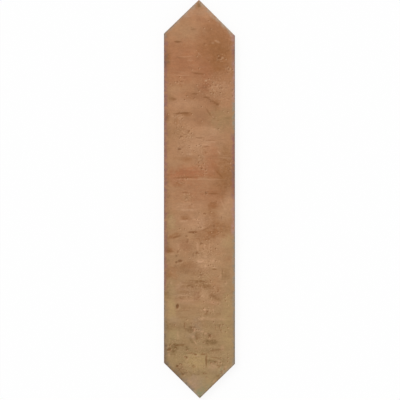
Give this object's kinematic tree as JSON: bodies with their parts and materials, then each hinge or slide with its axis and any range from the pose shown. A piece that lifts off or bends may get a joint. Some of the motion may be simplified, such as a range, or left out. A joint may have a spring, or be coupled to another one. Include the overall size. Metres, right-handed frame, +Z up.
{
  "type": "zellige tile",
  "caption": "Long picket-shaped zellige tile with a pointed head and foot, hand-cut from matt unglazed terracotta, for floors and walls.",
  "frame": {"origin": "middle of the tile's outline, on the plane that its back rests on", "axes": "+X across the tile to the right, +Y along the tile to its head, +Z up out of the face"},
  "size_m": [0.071, 0.3984, 0.011],
  "materials": {
    "fired_clay": "matt unglazed terracotta, mottled from red-brown at the head to ochre at the foot"
  },
  "bodies": {
    "root": {"tile": "fired_clay"}
  },
  "joints": []
}
